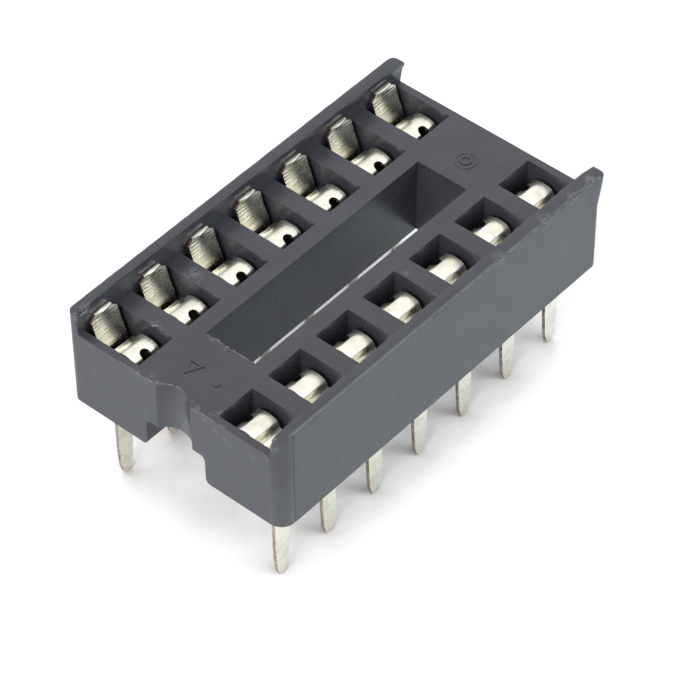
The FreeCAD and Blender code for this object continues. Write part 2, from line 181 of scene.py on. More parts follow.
def new_material(name):
    """A material with an empty tree."""
    material = bpy.data.materials.new(name)
    material.use_nodes = True
    material.node_tree.nodes.clear()
    return material, material.node_tree


def in_millimetres(tree):
    """Object coordinates in millimetres."""
    place = add_node(tree, "ShaderNodeTexCoord").outputs["Object"]
    return add_node(tree, "ShaderNodeMapping", {"Vector": place, "Scale": (1 / MM,) * 3}).outputs["Vector"]


# Scraped spots on the moulding: centre, radius and strength
SCUFFS = (
    ((-8.76, 0.78, DECK_HEIGHT), 0.22, 0.8),
    ((-8.44, -0.02, DECK_HEIGHT), 0.16, 0.7),
    ((-8.53, 1.94, DECK_HEIGHT), 0.12, 0.6),
    ((-8.74, -1.0, DECK_HEIGHT), 0.14, 0.7),
    ((-8.65, -1.62, DECK_HEIGHT), 0.12, 0.6),
    ((-8.73, -2.26, DECK_HEIGHT), 0.16, 0.8),
    ((-6.57, 2.91, DECK_HEIGHT), 0.16, 0.7),
    ((-6.75, 2.5, DECK_HEIGHT), 0.14, 0.7),
    ((-6.98, 3.9, DECK_HEIGHT), 0.14, 0.5),
    ((-4.0, 3.45, DECK_HEIGHT), 0.55, 0.45),
    ((-2.16, -2.25, DECK_HEIGHT), 0.16, 0.5),
    ((-7.02, -3.83, DECK_HEIGHT), 0.14, 0.6),
    ((NEAR_END, 2.06, 6.37), 0.1, 0.8),
    ((NEAR_END, 1.68, DECK_HEIGHT), 0.2, 0.8),
    ((NEAR_END, 1.32, 7.38), 0.16, 0.7),
    ((NEAR_END, -1.06, 7.48), 0.16, 0.8),
    ((NEAR_END, -1.52, 7.29), 0.16, 0.6),
    ((NEAR_END, -1.97, 7.1), 0.16, 0.6),
    ((NEAR_END, -2.43, 6.92), 0.16, 0.5),
    ((NEAR_END, -2.66, 6.82), 0.12, 0.5),
    ((NEAR_END, -3.69, 7.03), 0.14, 0.5),
    ((NEAR_END, -4.44, 7.31), 0.14, 0.6),
    ((NEAR_END, -4.63, 7.9), 0.25, 0.5),
    ((7.2, -5.0, 8.45), 0.3, 0.6),
    ((-8.39, -1.86, DECK_HEIGHT), 0.2, 0.8),
    ((-8.6, 1.2, DECK_HEIGHT), 0.2, 0.7),
    ((-8.62, -0.62, DECK_HEIGHT), 0.14, 0.7),
    ((-5.86, 0.8, DECK_HEIGHT), 0.14, 0.8),
    ((-5.86, 0.1, DECK_HEIGHT), 0.16, 0.7),
    ((-5.86, -0.7, DECK_HEIGHT), 0.14, 0.8),
    ((1.1, -2.3, DECK_HEIGHT), 0.16, 0.7),
    ((0.87, -3.84, DECK_HEIGHT), 0.12, 0.7),
    ((-8.3, 4.55, 8.5), 0.3, 0.6),
    ((-8.75, 4.6, 8.3), 0.2, 0.6),
    ((5.6, -5.02, 8.45), 0.4, 0.5),
    ((3.1, -5.02, 8.45), 0.4, 0.5),
    ((8.3, -4.9, 8.5), 0.3, 0.6),
)
# How far a scuff's outline is pushed about, and the share of its radius that is worn in full
SCUFF_PUSH = 0.6
SCUFF_CORE = 0.2


def worn_spots(tree, place):
    """How worn the moulding is: a soft patch round each scuff, broken up by a ragged noise."""
    # Outlines are pushed about in waves some 0.2 mm long, so that none is round
    astray = add_node(
        tree, "ShaderNodeTexNoise", {"Vector": place, "Scale": 4.5, "Detail": 3.0, "Roughness": 0.7},
    )
    pushed = add_node(
        tree, "ShaderNodeVectorMath", {0: astray.outputs["Color"], 1: (SCUFF_PUSH,) * 3, 2: place},
        operation="MULTIPLY_ADD",
    )
    worn = None
    for centre, radius, strength in SCUFFS:
        # The noise is never negative, so the aim is moved by the mean of the push
        aim = [along + SCUFF_PUSH / 2 for along in centre]
        apart = add_node(tree, "ShaderNodeVectorMath", {0: pushed.outputs[0], 1: aim}, operation="DISTANCE")
        patch = add_node(
            tree, "ShaderNodeMapRange",
            {
                "Value": apart.outputs["Value"], "From Min": radius, "From Max": radius * SCUFF_CORE,
                "To Min": 0.0, "To Max": strength,
            },
        ).outputs[0]
        if worn is None:
            worn = patch
        else:
            worn = add_node(tree, "ShaderNodeMath", {0: worn, 1: patch}, operation="MAXIMUM").outputs[0]
    # Raggedness of a scrape, about 0.14 mm across
    ragged = add_node(
        tree, "ShaderNodeTexNoise", {"Vector": place, "Scale": 7.0, "Detail": 4.0, "Roughness": 0.75},
    )
    torn = add_node(
        tree, "ShaderNodeMapRange", {"Value": ragged.outputs[0], "From Min": 0.42, "From Max": 0.54},
    )
    return add_node(tree, "ShaderNodeMath", {0: worn, 1: torn.outputs[0]}, operation="MULTIPLY").outputs[0]


def moulded_thermoplastic():
    """Glass-filled thermoplastic, injection moulded: charcoal, satin, and faintly clouded by the filler."""
    colours = bpy.context.scene.socket_colours
    material, tree = new_material("moulded_thermoplastic")
    place = in_millimetres(tree)
    # Clouds of filler, about a millimetre across
    clouds = add_node(
        tree, "ShaderNodeTexNoise", {"Vector": place, "Scale": 0.9, "Detail": 5.0, "Roughness": 0.62},
    )
    cloudy = add_node(
        tree, "ShaderNodeMapRange", {"Value": clouds.outputs[0], "From Min": 0.35, "From Max": 0.68},
    )
    clean = add_node(
        tree, "ShaderNodeMix",
        {
            MIX_SHARE: cloudy.outputs[0], MIX_FIRST: list(colours.moulding),
            MIX_SECOND: list(colours.moulding_light),
        },
        data_type="RGBA",
    )
    worn = worn_spots(tree, place)
    colour = add_node(
        tree, "ShaderNodeMix",
        {MIX_SHARE: worn, MIX_FIRST: clean.outputs[MIX_RESULT], MIX_SECOND: list(colours.scuff)},
        data_type="RGBA",
    )
    # Grit of the mould's skin, drawn at 0.08 mm so that it shows
    grit = add_node(
        tree, "ShaderNodeTexNoise", {"Vector": place, "Scale": 12.0, "Detail": 1.0, "Roughness": 0.5},
    )
    gloss = add_node(
        tree, "ShaderNodeMapRange",
        {"Value": grit.outputs[0], "From Min": 0.3, "From Max": 0.7, "To Min": 0.26, "To Max": 0.36},
    )
    roughness = add_node(
        tree, "ShaderNodeMix", {"Factor": worn, "A": gloss.outputs[0], "B": 0.75}, data_type="FLOAT",
    )
    # Three unevennesses of the skin, one on the other: its clouds, its scrapes and its grit
    soft = add_node(
        tree, "ShaderNodeBump", {"Height": clouds.outputs[0], "Strength": 0.15, "Distance": 0.03 * MM},
    )
    scraped = add_node(
        tree, "ShaderNodeBump",
        {"Height": worn, "Normal": soft.outputs[0], "Strength": 0.8, "Distance": 0.04 * MM},
    )
    fine = add_node(
        tree, "ShaderNodeBump",
        {"Height": grit.outputs[0], "Normal": scraped.outputs[0], "Strength": 0.2, "Distance": 0.003 * MM},
    )
    shader = add_node(
        tree, "ShaderNodeBsdfPrincipled",
        {
            "Base Color": colour.outputs[MIX_RESULT], "Roughness": roughness.outputs[0],
            "IOR": PLASTIC_IOR, "Normal": fine.outputs[0],
        },
    )
    add_node(tree, "ShaderNodeOutputMaterial", {"Surface": shader.outputs[0]})
    return material


def torn_thermoplastic():
    """The same plastic drawn out thin and torn: whitened where it stretched, and dull."""
    colours = bpy.context.scene.socket_colours
    material, tree = new_material("torn_thermoplastic")
    place = in_millimetres(tree)
    # Stretch marks, about 0.1 mm across
    torn = add_node(
        tree, "ShaderNodeTexNoise", {"Vector": place, "Scale": 9.0, "Detail": 3.0, "Roughness": 0.7},
    )
    stretched = add_node(
        tree, "ShaderNodeMapRange", {"Value": torn.outputs[0], "From Min": 0.38, "From Max": 0.6},
    )
    colour = add_node(
        tree, "ShaderNodeMix",
        {
            MIX_SHARE: stretched.outputs[0], MIX_FIRST: list(colours.moulding_light),
            MIX_SECOND: list(colours.scuff),
        },
        data_type="RGBA",
    )
    roughness = add_node(
        tree, "ShaderNodeMapRange", {"Value": torn.outputs[0], "To Min": 0.3, "To Max": 0.7},
    )
    bump = add_node(
        tree, "ShaderNodeBump", {"Height": torn.outputs[0], "Strength": 0.5, "Distance": 0.01 * MM},
    )
    shader = add_node(
        tree, "ShaderNodeBsdfPrincipled",
        {
            "Base Color": colour.outputs[MIX_RESULT], "Roughness": roughness.outputs[0],
            "IOR": PLASTIC_IOR, "Normal": bump.outputs[0],
        },
    )
    add_node(tree, "ShaderNodeOutputMaterial", {"Surface": shader.outputs[0]})
    return material


def bright_tin_plate():
    """Bright tin plated on rolled strip: pale, slightly warm, and banded where the tools bent it."""
    colours = bpy.context.scene.socket_colours
    material, tree = new_material("bright_tin_plate")
    place = in_millimetres(tree)
    # Bands across the strip, about 0.13 mm apart; a wave of scale 1 is 0.314 mm long
    lines = add_node(
        tree, "ShaderNodeTexWave",
        {"Vector": place, "Scale": 2.4, "Distortion": 3.2, "Detail": 2.0, "Detail Scale": 0.5},
        bands_direction="Z",
    )
    # The tools only marked the bent leaves, which begin above the board face
    height = add_node(tree, "ShaderNodeSeparateXYZ", {"Vector": place}).outputs["Z"]
    marked = add_node(
        tree, "ShaderNodeMapRange",
        {"Value": height, "From Min": 4.2, "From Max": 5.0, "To Min": 0.1, "To Max": 1.0},
    )
    # Tarnish in patches of about half a millimetre
    patchy = add_node(
        tree, "ShaderNodeTexNoise", {"Vector": place, "Scale": 2.2, "Detail": 4.0, "Roughness": 0.6},
    )
    stained = add_node(
        tree, "ShaderNodeMapRange",
        {"Value": patchy.outputs[0], "From Min": 0.45, "From Max": 0.75, "To Min": 0.0, "To Max": 0.5},
    )
    colour = add_node(
        tree, "ShaderNodeMix",
        {MIX_SHARE: stained.outputs[0], MIX_FIRST: list(colours.tin), MIX_SECOND: list(colours.stain)},
        data_type="RGBA",
    )
    roughness = add_node(
        tree, "ShaderNodeMapRange",
        {"Value": patchy.outputs[0], "From Min": 0.3, "From Max": 0.75, "To Min": 0.22, "To Max": 0.34},
    )
    bump = add_node(
        tree, "ShaderNodeBump",
        {"Height": lines.outputs["Fac"], "Strength": marked.outputs[0], "Distance": 0.003 * MM},
    )
    shader = add_node(
        tree, "ShaderNodeBsdfPrincipled",
        {
            "Base Color": colour.outputs[MIX_RESULT], "Metallic": 1.0, "Roughness": roughness.outputs[0],
            "Normal": bump.outputs[0],
        },
    )
    add_node(tree, "ShaderNodeOutputMaterial", {"Surface": shader.outputs[0]})
    return material


def cut_phosphor_bronze():
    """Phosphor bronze at the cut edges: tinned over in part, red-brown where the die tore it bare."""
    colours = bpy.context.scene.socket_colours
    material, tree = new_material("cut_phosphor_bronze")
    place = in_millimetres(tree)
    # Bare patches, about 0.2 mm across
    torn = add_node(
        tree, "ShaderNodeTexNoise", {"Vector": place, "Scale": 5.0, "Detail": 3.0, "Roughness": 0.7},
    )
    bare = add_node(
        tree, "ShaderNodeMapRange",
        {"Value": torn.outputs[0], "From Min": 0.4, "From Max": 0.62, "To Min": 0.5, "To Max": 0.9},
    )
    colour = add_node(
        tree, "ShaderNodeMix",
        {MIX_SHARE: bare.outputs[0], MIX_FIRST: list(colours.tin), MIX_SECOND: list(colours.bronze)},
        data_type="RGBA",
    )
    roughness = add_node(
        tree, "ShaderNodeMapRange", {"Value": torn.outputs[0], "To Min": 0.2, "To Max": 0.5},
    )
    bump = add_node(
        tree, "ShaderNodeBump", {"Height": torn.outputs[0], "Strength": 0.4, "Distance": 0.006 * MM},
    )
    shader = add_node(
        tree, "ShaderNodeBsdfPrincipled",
        {
            "Base Color": colour.outputs[MIX_RESULT], "Metallic": 1.0, "Roughness": roughness.outputs[0],
            "Normal": bump.outputs[0],
        },
    )
    add_node(tree, "ShaderNodeOutputMaterial", {"Surface": shader.outputs[0]})
    return material


# Lift of the paper for the camera, and the share of it that a mirror sees
PAPER_LIFT = 0.63
MIRROR_SHARE = 0.9
# How much of the sky a place of the paper sees where the lift begins, and where it is full; below the first
# the paper carries painted shade
SHELTERED = 0.5
OPEN = 0.72


def white_paper():
    """Matt white paper: what the socket stands on, lifted to white for the camera and in mirrors but for a
    painted shade close under the body.
    """
    colours = bpy.context.scene.socket_colours
    material, tree = new_material("white_paper")
    place = in_millimetres(tree)
    # Tooth of the paper, faint, and drawn at 0.7 mm
    tooth = add_node(tree, "ShaderNodeTexNoise", {"Vector": place, "Scale": 1.5, "Detail": 3.0})
    bump = add_node(
        tree, "ShaderNodeBump", {"Height": tooth.outputs[0], "Strength": 0.03, "Distance": 0.02 * MM},
    )
    paper = add_node(
        tree, "ShaderNodeBsdfDiffuse", {"Color": list(colours.floor), "Normal": bump.outputs[0]},
    )
    path = add_node(tree, "ShaderNodeLightPath")
    # The lift fades out where the paper sees little open sky, close under the body: painted shade that
    # deepens its shadow, to the camera and in mirrors
    open_sky = add_node(tree, "ShaderNodeAmbientOcclusion", {"Distance": 5.6 * MM}, samples=8)
    lift_with_painted_shade = add_node(
        tree, "ShaderNodeMapRange",
        {
            "Value": open_sky.outputs["AO"], "From Min": SHELTERED, "From Max": OPEN,
            "To Min": 0.0, "To Max": PAPER_LIFT,
        },
    )
    seen = add_node(
        tree, "ShaderNodeMath",
        {0: path.outputs["Is Glossy Ray"], 1: MIRROR_SHARE, 2: path.outputs["Is Camera Ray"]},
        operation="MULTIPLY_ADD",
    )
    lift = add_node(tree, "ShaderNodeMath", {0: seen.outputs[0], 1: lift_with_painted_shade.outputs[0]}, operation="MULTIPLY")
    tint = add_node(
        tree, "ShaderNodeMix",
        {
            MIX_SHARE: path.outputs["Is Glossy Ray"], MIX_FIRST: list(colours.floor_glow),
            MIX_SECOND: list(colours.mirrored_glow),
        },
        data_type="RGBA",
    )
    glow = add_node(
        tree, "ShaderNodeEmission", {"Color": tint.outputs[MIX_RESULT], "Strength": lift.outputs[0]},
    )
    both = add_node(tree, "ShaderNodeAddShader", {0: paper.outputs[0], 1: glow.outputs[0]})
    add_node(tree, "ShaderNodeOutputMaterial", {"Surface": both.outputs[0]})
    return material


def finished_material(make):
    """The material that a function makes, made once and named like the function."""
    return bpy.data.materials.get(make.__name__) or make()


def new_piece(name, bm, materials, slot, *nodes):
    """Turns the mesh being worked on into a piece that rides on the socket."""
    mesh = bpy.data.meshes.new(name)
    bm.to_mesh(mesh)
    bm.free()
    for material in materials:
        mesh.materials.append(material)
    mesh.shade_smooth()
    piece = bpy.data.objects.new(name, mesh)
    bpy.context.scene.collection.objects.link(piece)
    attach(piece, "root")
    if nodes:
        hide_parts(*nodes)
    return piece


def round_edges(piece, width):
    """Breaks every sharp edge and keeps the flats flat."""
    bevel = piece.modifiers.new("edges", "BEVEL")
    bevel.width = width
    bevel.segments = 2
    bevel.limit_method = "ANGLE"
    bevel.angle_limit = SHARP
    bevel.use_clamp_overlap = True
    flats = piece.modifiers.new("flats", "WEIGHTED_NORMAL")
    flats.keep_sharp = True


def smooth(share):
    """Rises from 0 to 1 without a kink at either end."""
    share = min(1.0, max(0.0, share))
    return share * share * (3.0 - 2.0 * share)


def everything(bm):
    """The whole mesh, as bmesh operators take it."""
    return bm.verts[:] + bm.edges[:] + bm.faces[:]


# Step in which a run is searched for a reach
REACH_STEP = 0.01


class Run:
    """The middle line of a bent strip: a straight start, then arcs that follow without a kink."""

    def __init__(self, nodes):
        points = [Vector(node) for node in nodes]
        chord = points[1] - points[0]
        heading = math.atan2(chord.y, chord.x)
        self.pieces = [(0.0, chord.length, points[0], heading, 0.0)]
        self.length = chord.length
        for start, end in zip(points[1:], points[2:]):
            chord = end - start
            turn = math.atan2(chord.y, chord.x) - heading
            turn = math.atan2(math.sin(turn), math.cos(turn))
            curvature = 2 * math.sin(turn) / chord.length
            arc = 2 * turn / curvature
            self.pieces.append((self.length, arc, start, heading, curvature))
            self.length += arc
            heading += 2 * turn

    def at(self, distance):
        """The point that far along the strip."""
        start, _, point, heading, curvature = [
            piece for index, piece in enumerate(self.pieces) if index == 0 or piece[0] <= distance
        ][-1]
        gone = distance - start
        if curvature == 0.0:
            return point + Vector((math.cos(heading), math.sin(heading))) * gone
        ahead = heading + curvature * gone
        swept = Vector((math.sin(ahead) - math.sin(heading), math.cos(heading) - math.cos(ahead)))
        return point + swept / curvature

    def stations(self):
        """Where the strip needs a line across it to bend smoothly."""
        places = []
        for start, length, _, _, curvature in self.pieces:
            steps = max(1, math.ceil(abs(curvature) * length / BEND_STEP))
            places += [start + length * step / steps for step in range(steps + 1)]
        return sorted(set(round(place, 6) for place in places))

    def reach(self, across):
        """How far along the strip its reach first equals the given one, from the far end back."""
        distance = self.length
        while distance > 0 and self.at(distance).x < across:
            distance -= REACH_STEP
        return distance


def stamp_blank(bm, half_outline):
    """One flat blank: half its outline, where a third number is the radius the die leaves, then mirrored."""
    corners = [bm.verts.new((x, along, 0.0)) for x, along, *_ in half_outline]
    bm.faces.new(corners)
    for corner, (_, _, *radius) in zip(corners, half_outline):
        if radius:
            bmesh.ops.bevel(
                bm, geom=[corner], offset=radius[0], affect="VERTICES", segments=6, profile=0.5, material=-1,
            )
    bmesh.ops.mirror(bm, geom=everything(bm), matrix=Matrix(), merge_dist=0.0005, axis="X")
    bmesh.ops.recalc_face_normals(bm, faces=bm.faces[:])


def bend(bm, run):
    """Cuts lines across the blank where it curves and lays it along the run."""
    for place in run.stations():
        bmesh.ops.bisect_plane(
            bm, geom=everything(bm), dist=0.00001, plane_co=(0.0, place, 0.0), plane_no=(0.0, 1.0, 0.0),
        )
    for vert in bm.verts:
        point = run.at(vert.co.y)
        vert.co = (vert.co.x, point.x, point.y)


# Rises and reaches of the leaves over the chamber floor, outward positive
OUTER_LEAF = ((0.08, 0.8), (0.17, 1.6), (0.26, 2.15), (0.6, 3.1), (0.655, 3.4))
INNER_LEAF = (
    (-0.2, 1.84), (-0.25, 2.03), (-0.46, 2.15), (-0.525, 2.27), (-0.615, 2.385), (-1.34, 2.38), (-1.47, 2.18),
)
PLATE_RISE = 0.3
FOOT_REACH = 0.62
FOOT_BEND = 0.25
LEAF_HALF = 0.65
TIP_HALF = 0.43
TIP_LENGTH = 0.24
TIP_SLOPE = 0.14
DOME_HALF = 0.6
NOTCH_HALF = 0.21
NOTCH_REACH = -1.175
LEAD_IN = 0.1
EAR_HALF = 0.85
EAR_HEIGHT = 0.45
PIN_HALF = 0.36
PIN_SHOULDER = 1.6
PIN_WAIST_HALF = 0.3
PIN_WAIST_HEIGHT = 0.5
PIN_NOSE = ((0.0, 0.0), (0.12, 0.03), (0.2, 0.14))
# Radii of the die's corners, and what a full round leaves free at the middle line
WAIST_RADIUS = 0.1
EAR_RADIUS = 0.05
DIE_RADIUS = 0.03
ROUND_GAP = 0.005


def outer_blank(base):
    """Pin, ears and tall leaf in one strip, from the pin's nose to the leaf's tip."""
    run = Run([(0.0, 0.0), (0.0, base + PLATE_RISE)] + [(reach, base + rise) for reach, rise in OUTER_LEAF])
    bm = bmesh.new()
    step = run.length - TIP_LENGTH
    stamp_blank(bm, [
        *PIN_NOSE, (PIN_WAIST_HALF, PIN_WAIST_HEIGHT, WAIST_RADIUS), (PIN_HALF, PIN_SHOULDER),
        (PIN_HALF, base), (EAR_HALF, base), (EAR_HALF, base + EAR_HEIGHT, EAR_RADIUS),
        (LEAF_HALF, base + EAR_HEIGHT), (LEAF_HALF, step, DIE_RADIUS), (TIP_HALF, step + TIP_SLOPE),
        (TIP_HALF, run.length, DIE_RADIUS), (0.0, run.length),
    ])
    bend(bm, run)
    return bm


def inner_blank(base, sheet):
    """The leaf that doubles back, carries the ledge and rolls over into the dome with its two prongs."""
    foot = base + sheet / 2
    start = [(0.0, foot), (-FOOT_REACH, foot), (-FOOT_REACH - FOOT_BEND, foot + FOOT_BEND)]
    run = Run(start + [(reach, base + rise) for reach, rise in INNER_LEAF])
    bm = bmesh.new()
    notch = run.reach(NOTCH_REACH)
    stamp_blank(bm, [
        (0.0, 0.0), (DOME_HALF, 0.0), (DOME_HALF, run.length, EAR_RADIUS),
        (NOTCH_HALF, run.length, DIE_RADIUS), (NOTCH_HALF, notch, NOTCH_HALF - ROUND_GAP), (0.0, notch),
    ])
    bend(bm, run)
    return bm


def thick_sheet(bm, sheet):
    """The bent sheet given its thickness, half to each side, with the cut edges in the second material."""
    mesh = bpy.data.meshes.new("sheet")
    bm.to_mesh(mesh)
    bm.free()
    flat = bpy.data.objects.new("sheet", mesh)
    bpy.context.scene.collection.objects.link(flat)
    wall = flat.modifiers.new("sheet", "SOLIDIFY")
    wall.thickness = sheet
    wall.offset = 0.0
    wall.use_even_offset = True
    wall.material_offset_rim = 1
    for _ in range(2):
        mesh.materials.append(None)
    bpy.context.view_layer.update()
    thick = bpy.data.meshes.new_from_object(flat.evaluated_get(bpy.context.evaluated_depsgraph_get()))
    bpy.data.objects.remove(flat)
    bpy.data.meshes.remove(mesh)
    return thick


# Band below the tip's top that its end edges lie in, and what an edge across the tip spans at least
TIP_BAND = 0.02
TIP_SPAN = 0.1


def coin_tip(bm):
    """Breaks the tip's inner edge with the flat lead-in that guides a leg."""
    top = max(vert.co.z for vert in bm.verts)
    ends = [edge for edge in bm.edges if all(vert.co.z > top - TIP_BAND for vert in edge.verts)]
    across = [edge for edge in ends if abs(edge.verts[0].co.x - edge.verts[1].co.x) > TIP_SPAN]
    inner = min(sum(vert.co.y for vert in edge.verts) for edge in across)
    chosen = [edge for edge in across if sum(vert.co.y for vert in edge.verts) < inner + TIP_BAND]
    bmesh.ops.bevel(
        bm, geom=chosen, offset=LEAD_IN, offset_type="OFFSET", affect="EDGES", segments=1, profile=0.5,
        material=0,
    )


class SOCKET_OT_body(bpy.types.Operator):
    """Finishes the moulded body with softened, slightly uneven edges and its satin skin"""

    bl_idname = "socket.body"
    bl_label = "Moulded body"

    def execute(self, context):
        sizes = context.scene.socket_sizes
        bm = bmesh.new()
        bm.from_mesh(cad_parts["housing"].data)
        bmesh.ops.remove_doubles(bm, verts=bm.verts[:], dist=0.0005 * MM)
        bmesh.ops.dissolve_limit(bm, angle_limit=math.radians(1), verts=bm.verts[:], edges=bm.edges[:])
        if not bm.faces:
            raise RuntimeError("the housing came in with no faces")
        bmesh.ops.scale(bm, vec=(1 / MM,) * 3, verts=bm.verts)
        self.round_corners(bm)
        self.cut_lines(bm)
        self.warp(bm)
        bmesh.ops.scale(bm, vec=(MM,) * 3, verts=bm.verts)
        material = finished_material(moulded_thermoplastic)
        piece = new_piece("socket_body", bm, [material], "moulding", "housing")
        round_edges(piece, sizes.mould_edge)
        return {"FINISHED"}

    def round_corners(self, bm):
        """Rounds the edges that the mould left softer than the rest."""
        for fixed, radius, count in ROUNDER_EDGES:
            chosen = [
                edge for edge in bm.edges
                if edge.calc_length() > SHORTEST_ROUNDED and self.lies_on(edge, fixed)
            ]
            if len(chosen) != count:
                raise RuntimeError(f"{len(chosen)} edges lie along {fixed}, not {count}")
            bmesh.ops.bevel(
                bm, geom=chosen, offset=radius, offset_type="OFFSET", affect="EDGES", segments=4,
                profile=0.5, material=-1,
            )

    def lies_on(self, edge, fixed):
        """Whether both ends of an edge have the fixed coordinates."""
        return all(
            value is None or abs(place - value) < NEAR
            for vert in edge.verts for place, value in zip(vert.co, fixed)
        )

    def cut_lines(self, bm):
        """Lines round the walls, so that their rims can waver while their sides stay flat below."""
        across = [WAVER_FIRST]
        while across[-1] + WAVER_STEP < WAVER_LAST:
            across.append(across[-1] + WAVER_STEP)
        crease = (CREASE_X - CREASE_HALF, CREASE_X + CREASE_HALF)
        self.cut(bm, "x", HORN_COLUMNS, lambda vert: abs(vert.co.y) > WALL_OUTSIDE)
        self.cut(bm, "z", SIDE_LINES, lambda vert: True)
        self.cut(bm, "y", (-HORN_LINE, HORN_LINE), lambda vert: vert.co.x > HORN_LINE_FROM)
        self.cut(bm, "x", across, lambda vert: vert.co.z > COLUMNS_FROM - NEAR)
        self.cut(bm, "x", crease, lambda vert: vert.co.y < FRONT_OUTSIDE)

    def cut(self, bm, axis, places, wanted):
        """Cuts the wanted part of the mesh straight across an axis at each place."""
        normal = Vector([float(axis == name) for name in "xyz"])
        for place in places:
            faces = [face for face in bm.faces if all(wanted(vert) for vert in face.verts)]
            near = {item for face in faces for item in face.verts[:] + face.edges[:]}
            bmesh.ops.bisect_plane(
                bm, geom=faces + list(near), dist=0.0001, plane_co=normal * place, plane_no=normal,
            )

    def warp(self, bm):
        """Moves each point by the moulding's unevenness there, all worked out from where the point was."""
        for vert in bm.verts:
            x, y, z = vert.co
            side = math.copysign(1, y)
            self.waver(vert, x, y, z, side)
            self.flare(vert, x, y, z, side)
            if abs(x - CREASE_X) < NEAR and y < FRONT_OUTSIDE:
                vert.co.y += CREASE_DEPTH
            if abs(x) < WINDOW_HALF_LENGTH + NEAR and abs(abs(y) - WINDOW_HALF_WIDTH) < NEAR:
                vert.co.y += side * WINDOW_DRAFT * (DECK_HEIGHT - z) / (DECK_HEIGHT - SEAT_HEIGHT)

    def waver(self, vert, x, y, z, side):
        """Rims of the long walls: thicker towards the far end, and nowhere quite straight."""
        if z <= RIM_LOW + NEAR or abs(y) <= WALL_START:
            return
        up = min(1.0, (z - RIM_LOW) / (RIM_HIGH - RIM_LOW))
        if abs(y) < WALL_MIDDLE:
            vert.co.y -= side * up * (THICKER + THICKER_PER_MM * x)
        else:
            up = OUTER_WAVER if z > RIM_HIGH + NEAR else 0.0
        wavers = [
            height * noise.noise(Vector((x * along, y * across, layer)))
            for height, along, across, layer in WAVERS
        ]
        vert.co.y += side * up * sum(wavers)

    def flare(self, vert, x, y, z, side):
        """The far horns' lean, which grows with height, towards the end and across the wall."""
        start, full, out, aside = HORNS[side]
        lean = smooth((z - start) / (full - start))
        lean *= smooth((x - HORN_START) / (BODY_HALF_LENGTH - HORN_START))
        lean *= smooth((abs(y) - HORN_LINE) / (WALL_FACE - HORN_LINE))
        vert.co.x += out * lean
        vert.co.y += side * aside * lean


# Marks on the deck: a pointer at the end with pin one, a dot, and the rings that an ejector leaves
POINTER = ((-7.78, 0.42), (-7.05, 0.05), (-7.05, 0.79))
POINTER_LINE = 0.1
# Round marks: centre, radius, width of the line unless the mark is solid, and share of the mark's height
ROUND_MARKS = (
    ((-7.4, -0.82), 0.14, None, 1.0),
    ((7.0, -0.15), 0.45, 0.08, 0.6),
    ((7.0, -0.15), 0.24, 0.08, 1.0),
)
MARK_ROOT = 0.02


class SOCKET_OT_marks(bpy.types.Operator):
    """Raises the plain marks of the deck: a pointer, a dot and an ejector's rings"""

    bl_idname = "socket.marks"
    bl_label = "Deck marks"

    def execute(self, context):
        sizes = context.scene.socket_sizes
        low = sizes.deck_height / MM - MARK_ROOT
        rise = sizes.mark_height / MM
        bm = bmesh.new()
        corners = [bm.verts.new((x, y, low)) for x, y in POINTER]
        self.raise_mark(bm, bm.faces.new(corners), POINTER_LINE, rise)
        for (x, y), radius, line, share in ROUND_MARKS:
            ring = bmesh.ops.create_circle(
                bm, cap_ends=True, segments=32, radius=radius, matrix=Matrix.Translation((x, y, low)),
            )
            self.raise_mark(bm, ring["verts"][0].link_faces[0], line, rise * share)
        bmesh.ops.recalc_face_normals(bm, faces=bm.faces[:])
        bmesh.ops.scale(bm, vec=(MM,) * 3, verts=bm.verts)
        material = finished_material(moulded_thermoplastic)
        piece = new_piece("deck_marks", bm, [material], "moulding")
        round_edges(piece, sizes.cut_edge)
        return {"FINISHED"}

    def raise_mark(self, bm, face, line, rise):
        """Draws a face up off the deck, or only a line along its border."""
        drawn = [face]
        face.normal_update()
        if line:
            inset = bmesh.ops.inset_individual(bm, faces=[face], thickness=line, use_even_offset=True)
            drawn = inset["faces"]
            bmesh.ops.delete(bm, geom=[face], context="FACES_ONLY")
        top = bmesh.ops.extrude_face_region(bm, geom=drawn)["geom"]
        verts = [item for item in top if isinstance(item, bmesh.types.BMVert)]
        bmesh.ops.translate(bm, vec=(0.0, 0.0, MARK_ROOT + rise), verts=verts)


# The flash is rooted this far inside the deck and the near end
FLASH_ROOT = 0.01
FLASH_FOOT = DECK_HEIGHT - FLASH_ROOT
FLASH_END = NEAR_END + FLASH_ROOT
FLASH_THICKNESS = 0.025
FLASH_STEP = 0.06
# Degrees between the points that the notch's flash follows
NOTCH_STEP = 9
# Ragged height of the flash: its mean and least share, two noises per millimetre, and the finer one's share
FLASH_MEAN = 0.45
FLASH_LEAST = 0.1
TEAR_COARSE = 5.3
TEAR_FINE = 13.7
TEAR_FINE_SHARE = 0.6


def notch_rim(first, last):
    """Points along the notch's upper edge, between two angles in degrees."""
    turns = [math.radians(angle) for angle in range(first, last + 1, NOTCH_STEP)]
    return [
        (NOTCH_CENTRE + math.cos(turn) * NOTCH_RADIUS, math.sin(turn) * NOTCH_RADIUS, FLASH_FOOT)
        for turn in turns
    ]


